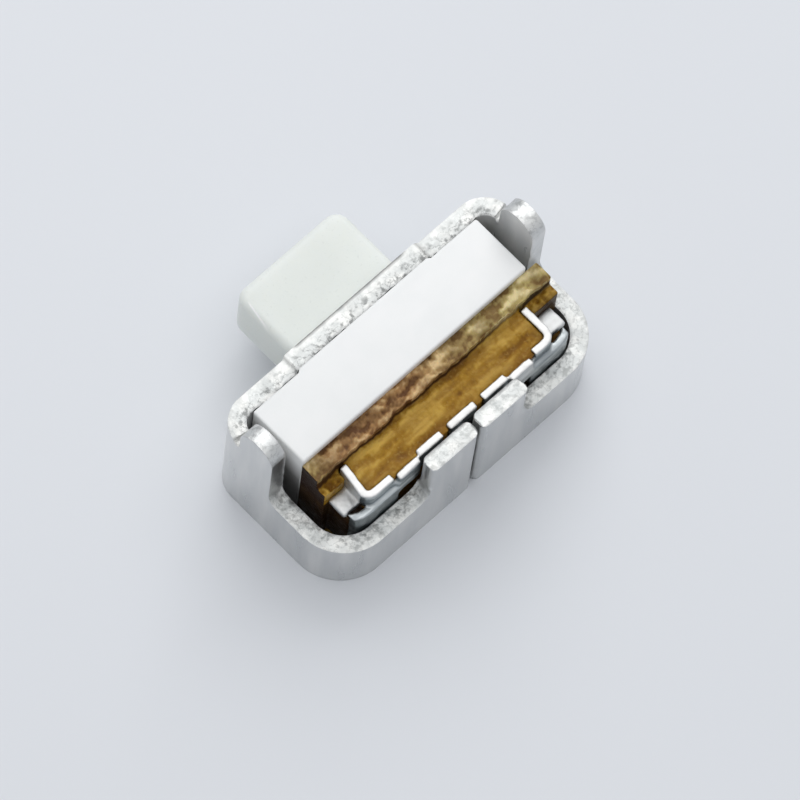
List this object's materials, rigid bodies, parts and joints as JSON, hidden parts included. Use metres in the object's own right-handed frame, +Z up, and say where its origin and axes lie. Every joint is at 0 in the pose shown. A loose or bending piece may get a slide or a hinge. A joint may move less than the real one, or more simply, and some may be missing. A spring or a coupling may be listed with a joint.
{
  "type": "tactile switch",
  "caption": "Side-push tactile switch with a folded steel frame, sliding button, snap dome and resin base with moulded-in contacts.",
  "frame": {"origin": "middle of the whole part's footprint, on the plane of the frame's flat lower edge", "axes": "+X along the body, +Z up towards the pegs, the button points to -Y and is pressed towards +Y"},
  "size_m": [0.004, 0.003, 0.002],
  "materials": {
    "frame_steel": "rolled stainless strip with rough sheared edges",
    "white_plastic": "bright white moulding, smooth",
    "button_plastic": "greyish white, slightly translucent, satin",
    "film": "amber polyimide film",
    "dome_steel": "bright spring steel",
    "base_resin": "amber heat-proof resin, rough where it was trimmed",
    "contact_metal": "silver-plated, bright cut edges"
  },
  "bodies": {
    "housing": {"frame": "frame_steel", "guide_block": "white_plastic", "base": "base_resin", "left_contact": "contact_metal", "centre_contact": "contact_metal", "right_contact": "contact_metal", "dome": "dome_steel", "film": "film"},
    "button": {"button": "button_plastic"}
  },
  "joints": [
    {"name": "button_press", "type": "slide", "parent": "housing", "child": "button", "axis": [0, 1, 0], "range_m": [0, 0.00015], "stiffness_N_per_m": 6000, "deforming": ["dome", "film"]}
  ]
}
